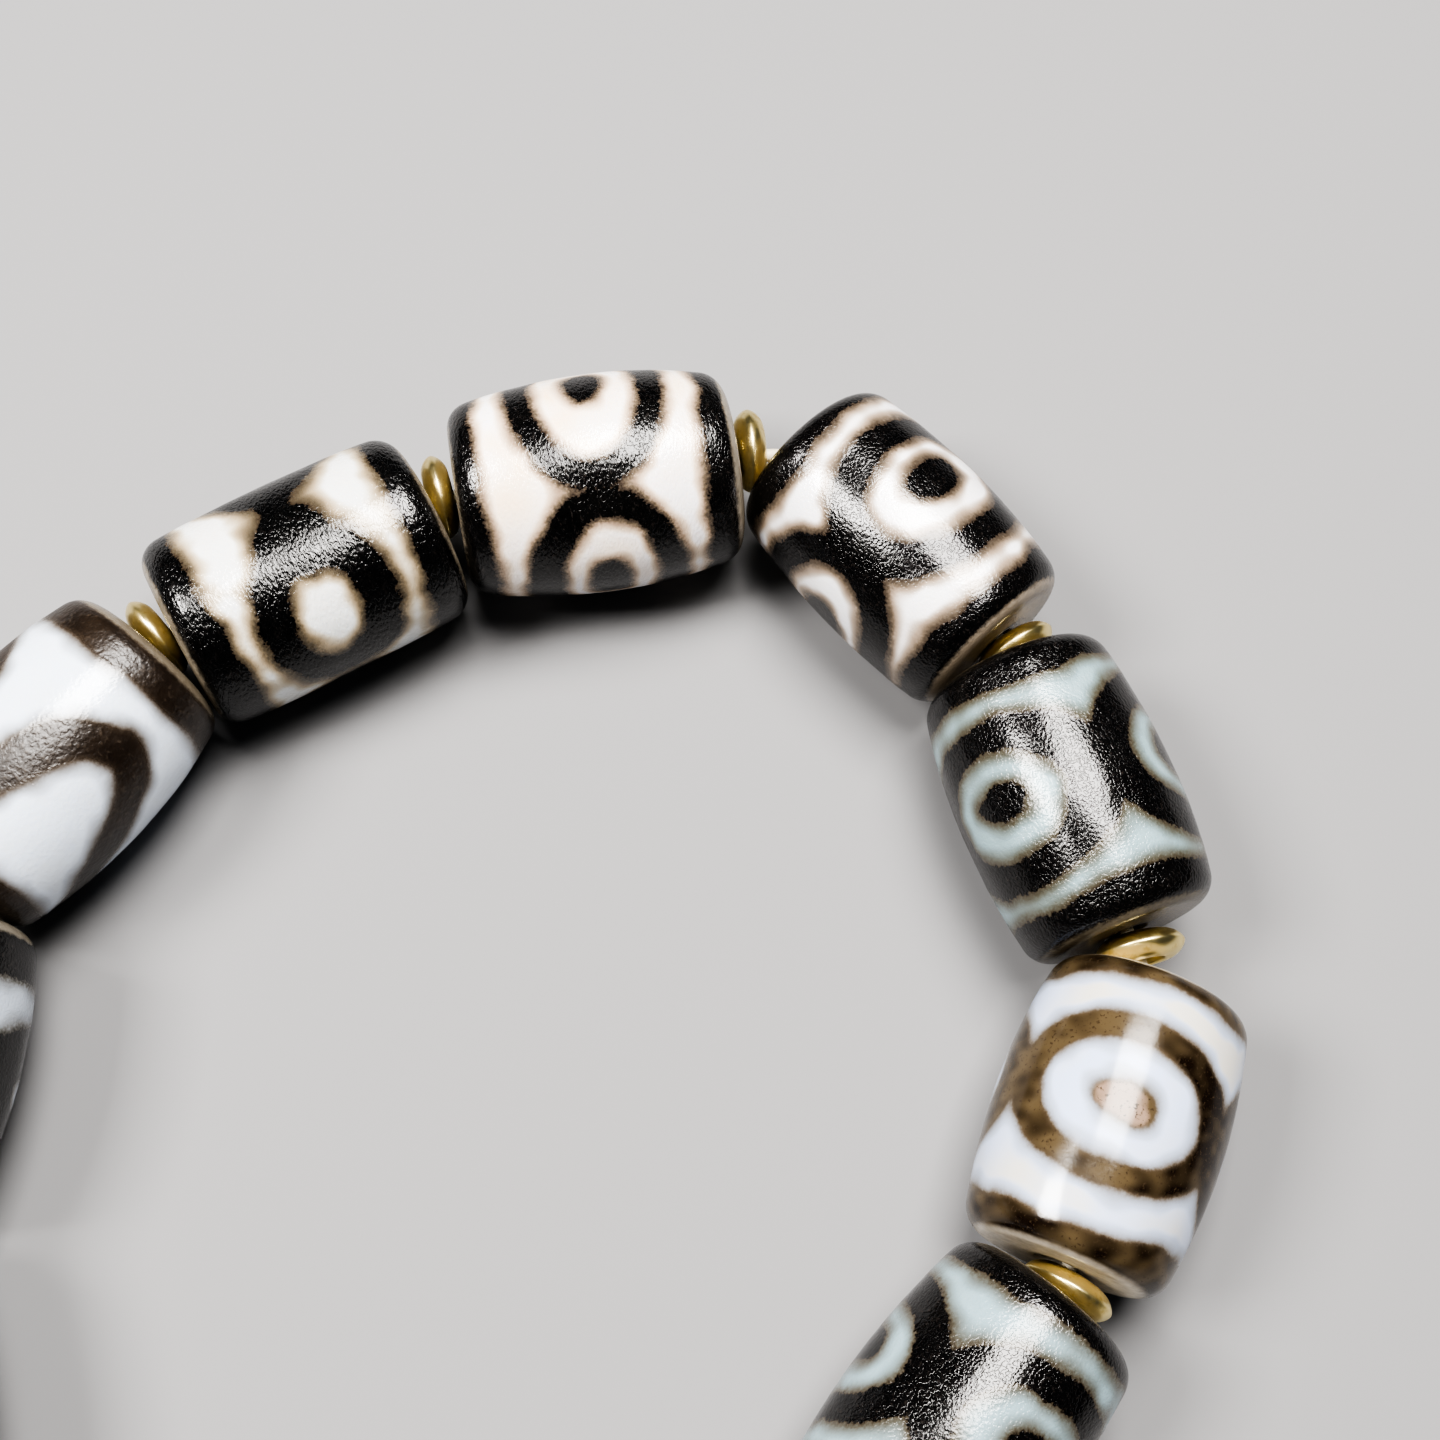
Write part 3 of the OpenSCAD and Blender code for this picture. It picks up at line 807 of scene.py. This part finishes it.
def elasticFibre():
    # fuzz that is deeper in colour where it stands higher
    f, fibre = Finish("elasticFibre"), fibreFinish
    fuzz = f.noise(f.place(), *fibre["fuzz"])
    colour = f.mix(fuzz, fibre["pale"], fibre["deep"])
    return f.surface(Base_Color=colour, Roughness=fibre["gloss"], Normal=f.bump(fuzz * fibre["fuzzHeight"]),
                     Subsurface_Weight=fibre["milk"], Subsurface_Radius=fibre["milkRadius"],
                     Subsurface_Scale=fibre["milkDepth"] * mm)


for k, bead in enumerate(beads):
    bead.data.materials.append(agate("agate%02d" % (k + 1), stones[stoneOfBead[k]], beadSeats[k]))
brass = polishedBrass()
for spacer in spacers:
    spacer.data.materials.append(brass)
threadPiece.data.materials.append(elasticFibre())
print("finishes made")


# Studio: a pale floor, a wide soft light overhead, a smaller one at the left, and a pale room

studio = {
    "tones": ("AgX", "AgX - Very High Contrast"),
    "floorSize": 3.0,                  # m
    "floor": (0.25, 0.25, 0.255),
    "floorRoughness": 0.8,
    "room": (0.80, 0.88, 1.0),
    "roomStrength": 0.06,
    "lightColour": (1.0, 0.965, 0.93),
    "lights": [
        # name, place in mm, aim in mm, size in mm, power in W
        ("overhead", (35, 105, 330), (10, 15, 0), (165, 185), 2.1),
        ("window", (-255, -15, 350), (20, 0, 0), (140, 150), 2.1),
    ],
}


def makeFloor():
    f = Finish("paleFloor")
    material = f.surface(Base_Color=(*studio["floor"], 1), Roughness=studio["floorRoughness"])
    half = studio["floorSize"] / 2
    corners = [(-half, -half, 0), (half, -half, 0), (half, half, 0), (-half, half, 0)]
    mesh = bpy.data.meshes.new("floor")
    mesh.from_pydata(corners, [], [(0, 1, 2, 3)])
    floor = bpy.data.objects.new("floor", mesh)
    bpy.context.scene.collection.objects.link(floor)
    mesh.materials.append(material)


def makeLights():
    for name, spot, aim, size, power in studio["lights"]:
        data = bpy.data.lights.new(name, "AREA")
        data.shape = "RECTANGLE"
        data.size, data.size_y = size[0] * mm, size[1] * mm
        data.energy = power
        data.color = studio["lightColour"]
        light = bpy.data.objects.new(name, data)
        light.location = Vector(spot) * mm
        light.rotation_euler = (Vector(aim) - Vector(spot)).to_track_quat("-Z", "Y").to_euler()
        bpy.context.scene.collection.objects.link(light)
    world = bpy.data.worlds.new("room")
    world.use_nodes = True
    background = world.node_tree.nodes["Background"]
    background.inputs["Color"].default_value = (*studio["room"], 1)
    background.inputs["Strength"].default_value = studio["roomStrength"]
    bpy.context.scene.world = world
    tones = bpy.context.scene.view_settings
    tones.view_transform, tones.look = studio["tones"]


makeFloor()
makeLights()
print("studio set")


# Each piece under the root body, with the CAD part that it stands for hidden

for piece, name, slot in [*zip(beads, beadNames, ["agate"] * beadCount),
                          *zip(spacers, spacerNames, ["brass"] * beadCount),
                          (threadPiece, "elastic_thread", "elastic")]:
    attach(piece, "root")
    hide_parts(name)
